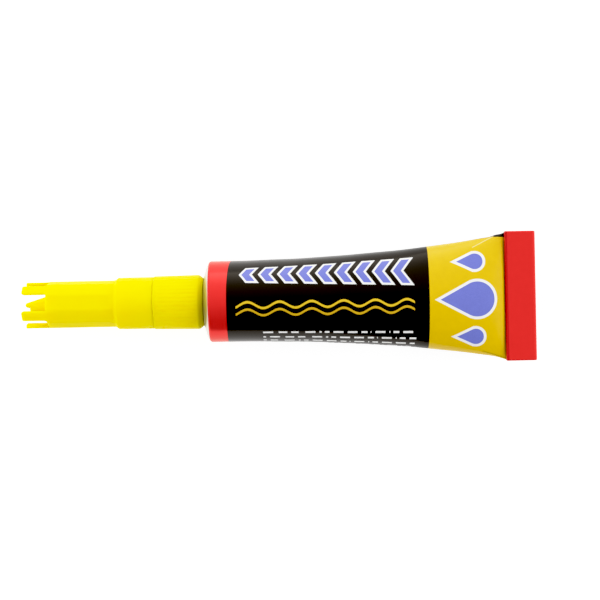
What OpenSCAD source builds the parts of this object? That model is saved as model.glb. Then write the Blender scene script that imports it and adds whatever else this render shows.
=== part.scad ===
// Super glue tube: a folded aluminium tube with a screw-on nozzle and a push-on cap.
// The tube lies on a surface with its axis along X: the cap points to -X and the fold to +X.
// The origin is on that surface, under the middle of the whole length. Sizes are in millimetres.

/* [Tube] */
// Outside diameter of the round end
tube_d = 13.5; // [11:0.1:18]
// Thickness of the aluminium wall
wall_t = 0.12; // [0.1:0.01:0.2]
// Length from the shoulder rim to the fold
body_len = 49.1; // [36:0.1:70]
// Length of the stiff round band behind the shoulder rim
band_len = 3; // [2:0.1:6]
// Fullness of the belly: a higher number keeps the tube round for longer
belly_power = 1.9; // [1.5:0.05:3]
// Length of the belly's underside that lies flat on the surface
rest_len = 17; // [8:0.5:24]

/* [Folded end] */
// Length of the fold along the tube
fold_len = 5.15; // [3:0.05:9]
// How far the pressed fold spreads past the tube on each side
fold_spread = 0.2; // [0:0.05:0.4]
// Space between the two walls in the fold, which the seal fills
fold_gap = 0.16; // [0.12:0.01:0.24]
// Space between the layers of the fold
layer_gap = 0.03; // [0.02:0.01:0.06]
// Clearance round the seal in its gap
seal_clearance = 0.02; // [0.01:0.005:0.04]

/* [Shoulder and neck] */
// Slope of the shoulder away from a flat end
shoulder_angle = 15; // [10:1:30]
// Thickness of the shoulder
shoulder_t = 0.45; // [0.3:0.05:0.8]
// Thickness of the round band
band_t = 0.3; // [0.22:0.01:0.4]
// Radius of the shoulder rim
rim_r = 0.6; // [0.3:0.05:1]
// Diameter over the thread of the neck
neck_d = 6; // [5:0.1:7]
// Diameter of the hole in the neck
neck_bore_d = 4; // [3:0.1:4.5]
// Length of the neck above the shoulder
neck_len = 6.5; // [5.5:0.1:9]
// Pitch of the neck thread
thread_pitch = 1; // [0.8:0.05:1.2]
// Depth of the neck thread
thread_depth = 0.35; // [0.25:0.01:0.4]
// Turns of thread on the neck
thread_turns = 4.5; // [2.5:0.5:4.5]
// Plain length of neck below its thread
thread_start = 0.8; // [0.5:0.1:1.2]
// Thickness of the membrane on the neck
membrane_t = 0.1; // [0.05:0.01:0.2]

/* [Nozzle] */
// Length of the ribbed skirt
skirt_len = 8.05; // [7:0.05:11]
// Wall of the skirt outside its thread
skirt_wall = 1.4; // [1:0.05:2]
// How much slimmer the skirt is at its top, on the radius
skirt_draft = 0.1; // [0:0.01:0.2]
// Length of the chamfer at the mouth of the skirt
mouth_chamfer = 0.6; // [0.3:0.05:1]
// Number of grooves round the skirt
groove_count = 40; // [24:1:48]
// Width of a groove
groove_w = 0.36; // [0.2:0.02:0.4]
// Depth of a groove
groove_depth = 0.12; // [0.06:0.01:0.2]
// Diameter of the spigot that holds the cap
spigot_d = 6.6; // [5.8:0.1:7.4]
// Length of the spigot
spigot_len = 3; // [2:0.1:4]
// Diameter of the spout at its foot
spout_base_d = 4.6; // [3.6:0.1:5.4]
// Diameter of the spout at its tip
spout_tip_d = 2; // [1.6:0.1:2.6]
// Length of the spout
spout_len = 12.9; // [9:0.1:18]
// Wall of the spout at its foot
spout_wall = 0.7; // [0.5:0.05:1]
// Diameter of the hole at the tip
orifice_d = 0.9; // [0.7:0.05:1.2]
// Length of the straight hole at the tip
orifice_len = 3; // [2.4:0.1:5]

/* [Cap] */
// Wall of the cap
cap_wall = 0.95; // [0.7:0.05:1.4]
// Length of the wider foot of the cap
cap_foot_len = 5.8; // [4.5:0.1:8]
// Length of the blend from the foot to the slim barrel
cap_blend_len = 0.8; // [0.4:0.1:2]
// Thickness of the end wall under the crown
cap_end_t = 1.3; // [0.8:0.1:2.5]
// Depth of the crown
crown_depth = 4; // [2.5:0.1:6]
// Number of fingers on the crown
finger_count = 5; // [4:1:6]
// Width of the slots between the fingers
slot_w = 2.8; // [1.6:0.1:3]
// Depth of the flats along the barrel
flat_depth = 0.2; // [0.1:0.02:0.3]
// Diameter of the spike at its foot
spike_base_d = 3; // [1.8:0.1:3.6]
// Diameter of the spike where its point starts
spike_point_d = 0.9; // [0.6:0.1:1.4]
// Length of the point of the spike
spike_point_len = 0.6; // [0.4:0.1:1.5]
// Diameter of the pin that stops the hole in the spout
pin_d = 0.7; // [0.4:0.05:0.85]
// Length of the pin inside the hole
pin_len = 1.6; // [0.8:0.1:2.2]
// Turn of the cap about its axis
cap_turn = 6; // [-30:1:30]

/* [Glue] */
// Height of the liquid's surface above the axis of the tube
glue_level = -0.4; // [-1.9:0.1:3]

/* [Fits] */
// Radial clearance between the threads
thread_clearance = 0.1; // [0.06:0.01:0.15]
// Radial clearance of the cap on the spigot
cap_clearance = 0.04; // [0.02:0.01:0.1]
// Gap between faces that seat on each other
seat_gap = 0.02; // [0.01:0.01:0.1]
// Gap between the mouth of the skirt and the shoulder
skirt_gap = 0.1; // [0.05:0.05:0.4]
// Radial clearance of the barrel round the spout
spout_clearance = 0.42; // [0.2:0.02:0.8]
// Gap between the tip of the spout and the cap
tip_gap = 0.4; // [0.2:0.05:0.8]
// Radial clearance of the crown when it is pushed over the neck
pierce_clearance = 0.14; // [0.08:0.02:0.2]
// Gap between the glue and the wall
glue_gap = 0.05; // [0.02:0.01:0.1]

/* [Hidden] */
$fn = 64;

// How far one solid is sunk into another that it is joined to
join = 0.08;
// Rounding of the small edges of the mouldings
edge_r = 0.2;
// How much smaller the first ring of the belly is than the band that it is joined to
belly_step = 0.06;

tube_r = tube_d / 2;
axis_z = tube_r;
slope = tan(shoulder_angle);

// Heights along the axis, measured from the shoulder rim towards the cap
neck_root_r = neck_d / 2 - thread_depth;
neck_foot = (tube_r - neck_d / 2) * slope;
neck_top = neck_foot + neck_len;
thread_z = neck_foot + thread_start;
socket_r = neck_d / 2 + thread_clearance;
membrane_z = neck_top + seat_gap;
seat_z = membrane_z + membrane_t + seat_gap;
mouth_z = (tube_r - socket_r) * slope + skirt_gap;
skirt_top = mouth_z + skirt_len;
spigot_top = skirt_top + spigot_len;
spout_top = spigot_top + spout_len;
cap_z = skirt_top + seat_gap;
cavity_top = spout_top + tip_gap;
crown_floor = cavity_top + cap_end_t;
crown_top = crown_floor + crown_depth;

// Radii of the mouldings, worked out from the inside to the outside
skirt_r = socket_r + skirt_wall;
cap_socket_r = spigot_d / 2 + cap_clearance;
foot_r = cap_socket_r + cap_wall;
cavity_r = spout_base_d / 2 + spout_clearance;
barrel_r = cavity_r + cap_wall + flat_depth;
crown_bore_r = neck_d / 2 + pierce_clearance;

// Places along X
overall_len = crown_top + body_len + fold_len;
rim_x = crown_top - overall_len / 2;
band_x = rim_x + band_len;
fold_x = rim_x + body_len;
end_x = fold_x + fold_len;
belly_len = fold_x - band_x;

// The belly: a ring keeps its circumference while it is pressed flat
ring_points = 24;
half_step = 180 / ring_points;
belly_rings = 14;
inner_r = tube_r - wall_t;
girth = 2 * PI * inner_r;
// How gently the underside of the belly lifts off the surface
rise_power = 1.5;
flat_half = half_width(fold_gap / 2);

// The fold: the flattened end is rolled over twice, so its raw edge lies in the middle layer
sheet_t = 2 * wall_t + fold_gap;
layer_pitch = sheet_t + layer_gap;
outer_bend_x = end_x - layer_pitch - sheet_t / 2;
inner_bend_x = fold_x + layer_pitch / 2 + sheet_t / 2;
bend_steps = 6;

function lerp(a, b, t) = a + (b - a) * t;

// Circumference of an ellipse from its half axes
function ellipse_girth(a, b) = PI * (3 * (a + b) - sqrt((3 * a + b) * (a + 3 * b)));

// Half width of a ring of the tube that is pressed to the half depth b, by halving an interval
function half_width(b) = find_half_width(b, b / 2, girth / 4 + b, 40);
function find_half_width(b, low, high, steps) =
    let (middle = (low + high) / 2)
    steps == 0 ? middle
    : ellipse_girth(middle, b) < girth ? find_half_width(b, middle, high, steps - 1)
    : find_half_width(b, low, middle, steps - 1);

// Share of the belly's length at ring i, with the rings closer together near the fold
function belly_share(i) = 1 - pow(1 - i / belly_rings, 2);
function belly_x(i) = lerp(band_x, fold_x, belly_share(i));

// Half depth of the inside of the belly at a share of its length
function half_depth(share) = lerp(fold_gap / 2, inner_r, sqrt(1 - pow(share, belly_power)));

// How far the middle of the belly sinks at a share of its length, so that its underside lies flat
// on the surface at first and then rises smoothly to the fold
function sag(share) =
    let (t = max(0, share * belly_len - rest_len) / (belly_len - rest_len))
    (inner_r - half_depth(share)) * (1 - pow(t, rise_power));

// A ring at x: an ellipse moved out by grow along its normal. A flat side of the ring faces down
function belly_ring(x, mid_z, a, b, grow) = [
    for (k = [0 : ring_points - 1])
        let (
            angle = 360 * k / ring_points + half_step,
            normal = [b * cos(angle), a * sin(angle)],
            out = normal / norm(normal) * grow
        )
        [x, a * cos(angle) + out.x, mid_z + b * sin(angle) + out.y]
];

// The rings of the belly, moved out by grow, from its first ring behind the band to the fold
function belly(grow) = [
    for (i = [1 : belly_rings])
        let (share = belly_share(i), b = half_depth(share), a = half_width(b))
        belly_ring(belly_x(i), axis_z - sag(share), a / cos(half_step), b / cos(half_step), grow)
];

// A round ring inside the wall of the band, where the belly is joined to it
function band_ring(x, grow) =
    let (r = inner_r - belly_step)
    belly_ring(x, axis_z, r, r, grow);

// The path of the fold, seen from the side: places and the direction square to the sheet
fold_path = concat(
    [[[inner_bend_x, 0], [0, 1]]],
    [
        for (i = [0 : bend_steps])
            let (angle = -90 + 180 * i / bend_steps, outward = [cos(angle), sin(angle)])
            [[outer_bend_x, layer_pitch] + layer_pitch * outward, -outward]
    ],
    [
        for (i = [0 : bend_steps])
            let (angle = 90 + 180 * i / bend_steps, outward = [cos(angle), sin(angle)])
            [[inner_bend_x, 1.5 * layer_pitch] + layer_pitch / 2 * outward, -outward]
    ],
    [[[outer_bend_x, layer_pitch], [0, 1]]]
);

// The section of the flattened tube, with as many points as a ring of the belly
function sheet_section(half_w, half_t) = [
    for (k = [0 : ring_points - 1])
        let (angle = 360 * k / ring_points + half_step)
        [half_w * cos(angle) / cos(half_step), half_t * sign(sin(angle))]
];

// A section carried along the path of the fold
function fold_rings(section) = [
    for (place = fold_path)
        [
            for (c = section)
                let (spot = place[0] + c.y * place[1])
                [spot.x, c.x, axis_z + spot.y]
        ]
];

function reversed(list) = [for (i = [len(list) - 1 : -1 : 0]) list[i]];

// Triangles between ring i and ring j, each of n points
function strip(i, j, n) = [
    for (k = [0 : n - 1])
        let (a = i * n + k, b = i * n + (k + 1) % n, c = j * n + (k + 1) % n, d = j * n + k)
        each [[a, d, c], [a, c, b]]
];

// A closed solid through rings, with flat ends
module solid_through(rings) {
    n = len(rings[0]);
    last = len(rings) - 1;
    polyhedron(
        points = [for (ring = rings) each ring],
        faces = concat(
            [for (i = [0 : last - 1]) each strip(i, i + 1, n)],
            [[for (k = [0 : n - 1]) k]],
            [[for (k = [n - 1 : -1 : 0]) last * n + k]]
        )
    );
}

// A closed shell between outer rings and inner rings, open at both of its ends
module shell_through(outer, inner) {
    rings = concat(outer, reversed(inner));
    n = len(rings[0]);
    count = len(rings);
    polyhedron(
        points = [for (ring = rings) each ring],
        faces = [for (i = [0 : count - 1]) each strip(i, (i + 1) % count, n)]
    );
}

// Turns a piece that stands on the shoulder rim, with its axis up, into its place on the tube
module on_tube() {
    translate([rim_x, 0, axis_z]) rotate([0, -90, 0]) children();
}

// A right-handed ridge from the radius base_r to crest_r, fading out at both ends
module thread_ridge(base_r, crest_r, z, turns) {
    steps_per_turn = 24;
    fade_steps = 5;
    least = 0.12;
    base_half = 0.3 * thread_pitch;
    crest_half = 0.1 * thread_pitch;
    steps = round(turns * steps_per_turn);
    outside = crest_r > base_r;
    solid_through([
        for (i = [0 : steps])
            let (
                angle = 360 * i / steps_per_turn,
                height = max(least, min(1, i / fade_steps, (steps - i) / fade_steps)),
                crest = lerp(base_r, crest_r, height),
                rise = z + thread_pitch * i / steps_per_turn,
                low = outside ? [base_r, base_half] : [crest, crest_half],
                high = outside ? [crest, crest_half] : [base_r, base_half],
                corners = [
                    [low.x, low.y], [high.x, high.y], [high.x, -high.y], [low.x, -low.y]
                ]
            )
            [for (c = corners) [c.x * cos(angle), c.x * sin(angle), rise + c.y]]
    ]);
}

// The stiff end of the tube: round band, rolled rim, shoulder and neck
module shoulder_and_neck() {
    rim_tangent = rim_r * tan(45 - shoulder_angle / 2);
    inner_drop = shoulder_t / cos(shoulder_angle);
    bore_r = neck_bore_d / 2;
    band_inner_r = tube_r - band_t;
    rim_steps = 7;
    rim = [
        for (i = [0 : rim_steps])
            let (angle = (90 - shoulder_angle) * i / rim_steps)
            [tube_r - rim_r + rim_r * cos(angle), -rim_tangent + rim_r * sin(angle)]
    ];
    rotate_extrude()
        polygon(concat(
            [[tube_r, -band_len]],
            rim,
            [
                [neck_root_r, (tube_r - neck_root_r) * slope],
                [neck_root_r, neck_top],
                [bore_r, neck_top],
                [bore_r, (tube_r - bore_r) * slope - inner_drop],
                [band_inner_r, band_t * slope - inner_drop],
                [band_inner_r, -band_len]
            ]
        ));
}

module tube_body() {
    start_x = lerp(rim_x, band_x, 0.6);
    color([0.08, 0.08, 0.08]) {
        on_tube() {
            shoulder_and_neck();
            thread_ridge(neck_root_r - join, neck_d / 2, thread_z, thread_turns);
        }
        shell_through(
            concat(
                [band_ring(start_x, wall_t), band_ring(band_x, wall_t)],
                belly(wall_t),
                fold_rings(sheet_section(flat_half + wall_t + fold_spread, sheet_t / 2))
            ),
            concat(
                [band_ring(start_x, 0), band_ring(band_x, 0)],
                belly(0),
                fold_rings(sheet_section(flat_half, fold_gap / 2))
            )
        );
    }
}

module neck_membrane() {
    color([0.8, 0.8, 0.78])
        on_tube()
            translate([0, 0, membrane_z])
                cylinder(r = neck_root_r, h = membrane_t);
}

module end_seal() {
    half_w = flat_half - seal_clearance;
    half_t = fold_gap / 2 - seal_clearance;
    color([0.85, 0.78, 0.6])
        solid_through(fold_rings([
            [half_w, -half_t], [half_w, half_t], [-half_w, half_t], [-half_w, -half_t]
        ]));
}

// The liquid lies under a level surface in the belly, which it reaches from the band to the seal
module glue() {
    color([0.85, 0.9, 0.95, 0.6])
        intersection() {
            solid_through(concat(
                [band_ring(band_x + glue_gap, -glue_gap)],
                [for (ring = belly(-glue_gap)) if (ring[0].x < fold_x - sheet_t) ring]
            ));
            translate([band_x - join, -tube_d, 0])
                cube([belly_len, 2 * tube_d, axis_z + glue_level]);
        }
}

// The skirt outside, with a chamfered mouth and an eased top edge
module skirt_outside() {
    top_r = skirt_r - skirt_draft;
    mouth_land = 0.62 * skirt_wall;
    rotate_extrude()
        polygon([
            [0, mouth_z],
            [socket_r + mouth_land, mouth_z],
            [skirt_r, mouth_z + mouth_chamfer],
            [top_r, skirt_top - 2 * edge_r],
            [top_r - edge_r / 2, skirt_top],
            [0, skirt_top]
        ]);
}

module skirt_grooves() {
    groove_z = mouth_z + mouth_chamfer + edge_r;
    groove_len = skirt_top - 3 * edge_r - groove_z;
    lean = atan(skirt_draft / skirt_len);
    groove_r = groove_w / 2;
    for (i = [0 : groove_count - 1])
        rotate([0, 0, 360 * i / groove_count])
            translate([skirt_r - groove_depth + groove_r, 0, groove_z])
                rotate([0, -lean, 0])
                    cylinder(r = groove_r, h = groove_len, $fn = 24);
}

module nozzle() {
    foot_bore_r = spout_base_d / 2 - spout_wall;
    funnel_top = spout_top - orifice_len;
    thread_top = seat_z - thread_pitch;
    turns = min(thread_turns, floor(2 * (thread_top - thread_z) / thread_pitch) / 2) - 0.5;
    color([0.93, 0.88, 0.02])
        on_tube()
            difference() {
                union() {
                    difference() {
                        skirt_outside();
                        skirt_grooves();
                        translate([0, 0, mouth_z - join])
                            cylinder(r = socket_r, h = seat_z - mouth_z + join);
                    }
                    translate([0, 0, skirt_top - join])
                        cylinder(d = spigot_d, h = spigot_len + join);
                    translate([0, 0, spigot_top - join])
                        cylinder(d1 = spout_base_d, d2 = spout_tip_d, h = spout_len + join);
                    thread_ridge(
                        socket_r + join, neck_root_r + thread_clearance,
                        thread_z + thread_pitch / 2, turns
                    );
                }
                translate([0, 0, seat_z - join])
                    cylinder(r1 = foot_bore_r, r2 = orifice_d / 2, h = funnel_top - seat_z + join);
                translate([0, 0, funnel_top - join])
                    cylinder(d = orifice_d, h = orifice_len + 2 * join);
            }
}

// The outside of the cap: wide foot, slim barrel and the rim of the crown
module cap_outside() {
    blend_z = cap_z + cap_foot_len;
    blend_steps = 6;
    rotate_extrude()
        polygon(concat(
            [
                [0, cap_z],
                [foot_r - edge_r / 2, cap_z],
                [foot_r, cap_z + edge_r]
            ],
            [
                for (i = [0 : blend_steps])
                    let (t = i / blend_steps)
                    [lerp(foot_r, barrel_r, (1 - cos(180 * t)) / 2), blend_z + cap_blend_len * t]
            ],
            [
                [barrel_r, crown_top - edge_r],
                [barrel_r - edge_r, crown_top],
                [0, crown_top]
            ]
        ));
}

module cap_inside() {
    socket_len = spigot_len + tip_gap;
    translate([0, 0, cap_z - join])
        cylinder(r = cap_socket_r, h = socket_len + join);
    translate([0, 0, cap_z])
        cylinder(r = cavity_r, h = cavity_top - cap_z);
}

// The bore of the crown and the slots between its fingers
module crown_cuts() {
    slot_start = sqrt(pow(crown_bore_r, 2) - pow(slot_w / 2, 2)) - edge_r;
    translate([0, 0, crown_floor])
        cylinder(r = crown_bore_r, h = crown_depth + join);
    for (i = [0 : finger_count - 1])
        rotate([0, 0, 360 * i / finger_count])
            translate([slot_start, -slot_w / 2, crown_floor])
                cube([barrel_r, slot_w, crown_depth + join]);
}

// The shallow flats that go on from the slots along the barrel
module flat_cuts() {
    flat_z = cap_z + cap_foot_len + cap_blend_len + edge_r;
    for (i = [0 : finger_count - 1])
        rotate([0, 0, 360 * i / finger_count])
            translate([barrel_r - flat_depth, -barrel_r / 2, flat_z])
                cube([barrel_r, barrel_r, crown_floor + join - flat_z]);
}

// The spike: a slim cone with a blunt point, which starts inside the end wall
module spike() {
    tip_r = 0.2;
    shank_len = crown_depth - spike_point_len;
    growth = (spike_base_d - spike_point_d) / 2 / shank_len;
    rotate_extrude()
        polygon([
            [0, crown_floor - join],
            [spike_base_d / 2 + growth * join, crown_floor - join],
            [spike_point_d / 2, crown_top - spike_point_len],
            [tip_r, crown_top],
            [0, crown_top]
        ]);
}

module cap() {
    pin_foot = cavity_top + join;
    pin_h = pin_len + tip_gap + join;
    color([0.96, 0.91, 0.02])
        on_tube()
            rotate([0, 0, cap_turn]) {
                difference() {
                    cap_outside();
                    cap_inside();
                    crown_cuts();
                    flat_cuts();
                }
                spike();
                translate([0, 0, pin_foot - pin_h])
                    cylinder(d = pin_d, h = pin_h);
            }
}

tube_body();
neck_membrane();
end_seal();
glue();
nozzle();
cap();
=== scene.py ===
# %% [markdown]
# # A tube of instant glue
#
# The object is a small aluminium tube with a printed, lacquered wall and a folded tail. A ribbed
# yellow nozzle screws onto its neck, and a yellow cap with a crown of fingers is pushed over the
# nozzle. The solids of the construction are loaded first and stay where they are. Each surface made
# here takes its sizes from them, in millimetres, and rides on the body that carries it.

import bpy
import numpy as np
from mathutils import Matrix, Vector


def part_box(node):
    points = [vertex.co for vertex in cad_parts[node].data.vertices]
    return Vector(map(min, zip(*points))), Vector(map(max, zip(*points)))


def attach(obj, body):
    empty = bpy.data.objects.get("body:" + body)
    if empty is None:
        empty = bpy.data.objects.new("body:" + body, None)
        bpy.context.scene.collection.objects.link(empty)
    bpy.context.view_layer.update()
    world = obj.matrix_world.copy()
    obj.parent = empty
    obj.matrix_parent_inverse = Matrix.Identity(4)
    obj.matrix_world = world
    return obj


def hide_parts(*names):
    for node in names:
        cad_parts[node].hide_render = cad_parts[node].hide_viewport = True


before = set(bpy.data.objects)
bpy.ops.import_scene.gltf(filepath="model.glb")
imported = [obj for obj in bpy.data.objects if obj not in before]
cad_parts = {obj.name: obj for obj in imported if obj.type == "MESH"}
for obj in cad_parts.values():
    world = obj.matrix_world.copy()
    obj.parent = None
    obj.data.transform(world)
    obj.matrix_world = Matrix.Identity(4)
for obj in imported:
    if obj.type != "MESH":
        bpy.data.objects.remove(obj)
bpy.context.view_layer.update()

# %% [markdown]
# ## Sizes
#
# The boxes of the solids give the radii and the places along the tube. What a box can't show, such as
# the thickness of a wall, repeats the drawing. Heights are measured along the axis, from the
# shoulder rim towards the cap, because the neck, the nozzle and the cap are all stacked that way.

# %% Sizes from the solids
MM = 0.001


def box_mm(node):
    """Lowest and highest corner of a solid, in millimetres."""
    low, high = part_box(node)
    return np.array(low) / MM, np.array(high) / MM


tube_low, tube_high = box_mm("tube_body")
nozzle_low, nozzle_high = box_mm("nozzle")
cap_low, cap_high = box_mm("cap")

tube_r = (tube_high[2] - tube_low[2]) / 2
axis_z = tube_low[2] + tube_r
skirt_r = (nozzle_high[2] - nozzle_low[2]) / 2
foot_r = (cap_high[2] - cap_low[2]) / 2

neck_d = 6.0
neck_len = 6.5
thread_depth = 0.35
thread_pitch = 1.0
thread_start = 0.8
shoulder_deg = 15
neck_root_r = neck_d / 2 - thread_depth
slope = np.tan(np.radians(shoulder_deg))
neck_foot = (tube_r - neck_d / 2) * slope
neck_top = neck_foot + neck_len
thread_h = neck_foot + thread_start

rim_x = tube_low[0] + neck_top
mouth_h = rim_x - nozzle_high[0]
spout_h = rim_x - nozzle_low[0]
cap_h = rim_x - cap_high[0]
crown_h = rim_x - cap_low[0]
print(f"tube radius {tube_r:.2f}, rim at x {rim_x:.2f}, crown {crown_h:.2f} above the rim")

# %% [markdown]
# ## Surfaces from grids
#
# Every piece is a grid of points: one direction runs along a profile and the other one round it. With
# the points in one array, the faces follow from the places of the points in the grid, and nothing has
# to be drawn by hand. A piece is always closed, so that it can be printed or weighed as well as seen.

# %% A mesh through a grid of points
def stacked(*parts):
    """Numbers and arrays side by side in a new last direction, such as the coordinates of points."""
    return np.stack(np.broadcast_arrays(*parts), axis=-1)


def make_surface(name, points, closed_rows=False, poles=(), uv=None, sharp_deg=38):
    """A closed mesh through a grid of points of shape (rows, columns, 3), in millimetres.

    Each point joins its neighbours in the row and in the column, and the last column joins the
    first. The last row joins the first row too, or a pole closes each end. Six times the volume is
    the sum of the triple products of the triangles: if it is negative, the faces are turned over.
    """
    rows, columns = points.shape[:2]
    number = np.arange(rows * columns).reshape(rows, columns)
    number = np.concatenate([number, number[:, :1]], axis=1)
    if closed_rows:
        number = np.concatenate([number, number[:1]], axis=0)
    corners = [number[:-1, :-1], number[:-1, 1:], number[1:, 1:], number[1:, :-1]]
    quads = stacked(*corners).reshape(-1, 4)
    triangles = np.concatenate([quads[:, [0, 1, 2]], quads[:, [0, 2, 3]]])
    places = points.reshape(-1, 3)
    fans = np.zeros((0, 3), int)
    if len(poles):
        first = np.full(columns, len(places))
        start_fan = stacked(first, number[0, 1:], number[0, :-1])
        end_fan = stacked(number[-1, :-1], number[-1, 1:], first + 1)
        fans = np.concatenate([start_fan, end_fan])
        places = np.concatenate([places, np.array(poles)])
    a, b, c = places[np.concatenate([triangles, fans])].transpose(1, 0, 2)
    turned_over = np.einsum("ij,ij->", a, np.cross(b, c)) < 0
    order = slice(None, None, -1) if turned_over else slice(None)
    mesh = bpy.data.meshes.new(name)
    mesh.from_pydata((places * MM).tolist(), [], quads[:, order].tolist() + fans[:, order].tolist())
    if uv is not None:
        spots = np.stack([uv[:-1, :-1], uv[:-1, 1:], uv[1:, 1:], uv[1:, :-1]], axis=2)
        spots = spots.reshape(-1, 4, 2)[:, order]
        layer = mesh.uv_layers.new(name="print_mm")
        layer.uv.foreach_set("vector", spots.astype(np.float32).ravel())
    mesh.shade_smooth()
    mesh.set_sharp_from_angle(angle=np.radians(sharp_deg))
    piece = bpy.data.objects.new(name, mesh)
    bpy.context.scene.collection.objects.link(piece)
    print(f"{name}: {rows} rows of {columns}, {len(quads)} quads, {len(fans)} triangles")
    return piece


def turned(radius, height, angle):
    """Points of a turned piece: the angle runs round the tube's axis from the top towards +Y."""
    return stacked(rim_x - height, radius * np.sin(angle), axis_z + radius * np.cos(angle))


def smooth_step(low, high, value):
    """0 below low, 1 above high, and 3t² - 2t³ between them."""
    t = np.clip((value - low) / (high - low), 0, 1)
    return t * t * (3 - 2 * t)


# %% [markdown]
# ## The tube
#
# The tube is pressed from one slug of soft aluminium: wall, shoulder and neck are a single skin. It
# could be joined from a turned shoulder and a lofted wall, but then a seam would show at the rim. One
# closed surface is truer: it starts at the raw edge inside the fold, runs along the outside to the
# neck, turns in over the lip and comes back along the inside.
#
# A ring of the wall keeps its girth while it is pressed flat, so its width follows from its depth.
# The underside lies on the table along the first stretch, as a soft, filled tube does.

# %% The belly of the tube
wall_t = 0.12
band_len = 3.0
fold_len = 5.15
fold_gap = 0.16
layer_gap = 0.03
belly_power = 1.9
rest_len = 17.0
rise_power = 1.5
halvings = 40
tube_columns = 240

end_x = tube_high[0]
fold_x = end_x - fold_len
band_x = rim_x + band_len
belly_len = fold_x - band_x
fold_u = fold_x - rim_x
inner_r = tube_r - wall_t
round_angle = np.linspace(-np.pi, np.pi, tube_columns, endpoint=False)


def half_depth(share):
    """Half the inside depth: a round end that falls to the gap of the fold as a root of the length."""
    return fold_gap / 2 + (inner_r - fold_gap / 2) * np.sqrt(1 - share**belly_power)


def half_width(depth):
    """Half the width of a ring of that half depth which keeps the girth of the round end.

    The girth of an ellipse with half axes a and b is close to pi (3 (a + b) - root of (3 a + b)
    (a + 3 b)). The width that gives the girth is found by halving an interval, for all rings at once.
    """
    low, high = depth / 2, depth + np.pi * inner_r / 2
    for _ in range(halvings):
        a = (low + high) / 2
        girth = np.pi * (3 * (a + depth) - np.sqrt((3 * a + depth) * (a + 3 * depth)))
        wide = girth > 2 * np.pi * inner_r
        low, high = np.where(wide, low, a), np.where(wide, a, high)
    return a


def sag(share):
    """How far a ring's middle sinks, so that the underside lies flat and then lifts to the fold."""
    lift = np.clip((share * belly_len - rest_len) / (belly_len - rest_len), 0, 1) ** rise_power
    return (inner_r - half_depth(share)) * (1 - lift)


def arc_round(points):
    """Distance round each row from its front line: the running sum of the steps between neighbours."""
    ring = np.concatenate([points, points[:, :1]], axis=1)
    steps = np.linalg.norm(np.diff(ring, axis=1), axis=2)
    run = np.cumsum(np.pad(steps, ((0, 0), (1, 0))), axis=1)
    middle = points.shape[1] // 2
    return run - run[:, middle : middle + 1]


def belly(share, grow, relief=None):
    """Rings of the belly: ellipses moved out along their normals by the wall and by a relief."""
    share = share[:, None]
    depth = half_depth(share)
    width = half_width(depth)
    sine, cosine = np.sin(round_angle), np.cos(round_angle)
    normal = stacked(depth * sine, width * cosine)
    normal /= np.linalg.norm(normal, axis=-1, keepdims=True)
    x = band_x + share * belly_len
    z = axis_z - sag(share) + depth * cosine
    points = stacked(x, width * sine, z)
    out = grow
    if relief is not None:
        out = grow + relief(x - rim_x, arc_round(points)[:, :-1])
    points[..., 1:] += normal * np.asarray(out)[..., None]
    return points


print(f"belly {belly_len:.2f} mm long, {2 * tube_r:.2f} mm across at its round end")

# %% [markdown]
# Thin metal never stays perfect. Pressing the tail flat throws a short crease from each corner of the
# fold, and the wall keeps faint hollows from handling. These are small heights added along the
# normal: a crease is a narrow ridge beside a wider dip, and the hollows are slow waves.

# %% Creases and hollows of the wall
crease_len = 6.5
crease_height = 0.13
crease_start, crease_rise, crease_fall = 0.25, 3, 1.5
upper_crease_v, upper_crease_lean = 11.05, 0.5
lower_crease_v, lower_crease_lean = 10.35, 0.25
ridge_half_w = 0.22
dip_share, dip_off, dip_half_w = 0.8, 0.6, 0.4
hollow_depth = 0.025
rim_fade, fold_fade, side_fade = (3, 12), (0, 7), (9, 14)
wall_rings = 73


def crease_v(u, upper):
    """Distance of a crease from the front line: it falls in a straight line away from the fold."""
    upper_v = upper_crease_v - upper_crease_lean * (fold_u - u)
    lower_v = lower_crease_v - lower_crease_lean * (fold_u - u)
    return np.where(upper, upper_v, lower_v)


def wall_relief(u, v):
    """Height of the creases and hollows, u along the tube from its rim and v round it from the front.

    A crease follows a straight line from the fold's corner: its ridge is a bell curve of the distance
    from that line, and the dip beyond it is a wider bell curve of negative height. The hollows are
    products of slow sines, faded out at the band, at the fold and towards the sides.
    """
    along = np.clip((fold_u - u) / crease_len, 0, 1)
    fade = (1 - along) ** crease_fall * np.minimum(1, crease_start + crease_rise * along)
    off_line = np.abs(v) - crease_v(u, v > 0)
    ridge = np.exp(-((off_line / ridge_half_w) ** 2))
    dip = np.exp(-(((off_line - dip_off) / dip_half_w) ** 2))
    window = smooth_step(*rim_fade, u) * smooth_step(*fold_fade, fold_u - u)
    window = window * (1 - smooth_step(*side_fade, np.abs(v)))
    waves = np.sin(0.41 * u + 0.9) * np.cos(0.33 * v + 0.5) + 0.6 * np.sin(0.72 * u - 0.55 * v)
    return crease_height * fade * (ridge - dip_share * dip) + hollow_depth * window * waves


tail_share = 1 - np.linspace(0, 1, wall_rings, endpoint=False) ** 2
wall_outside = belly(tail_share, wall_t, wall_relief)
wall_inside = belly(tail_share[::-2], 0)
print(f"half width of the wall at the fold {wall_outside[0, :, 1].max():.2f} mm")

# %% [markdown]
# The tail is folded over twice, so the raw edge ends up in the middle of three layers and only smooth
# bends show. The sheet is one thin section carried along a spiral: along the bottom layer, round the
# outer bend, back along the top layer, round the inner bend and into the middle.

# %% The fold
sheet_t = 2 * wall_t + fold_gap
layer_pitch = sheet_t + layer_gap
outer_bend_x = end_x - layer_pitch - sheet_t / 2
inner_bend_x = fold_x + layer_pitch / 2 + sheet_t / 2
fold_half_w = tube_high[1]
bend_steps = 12
flat_steps = 8


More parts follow.
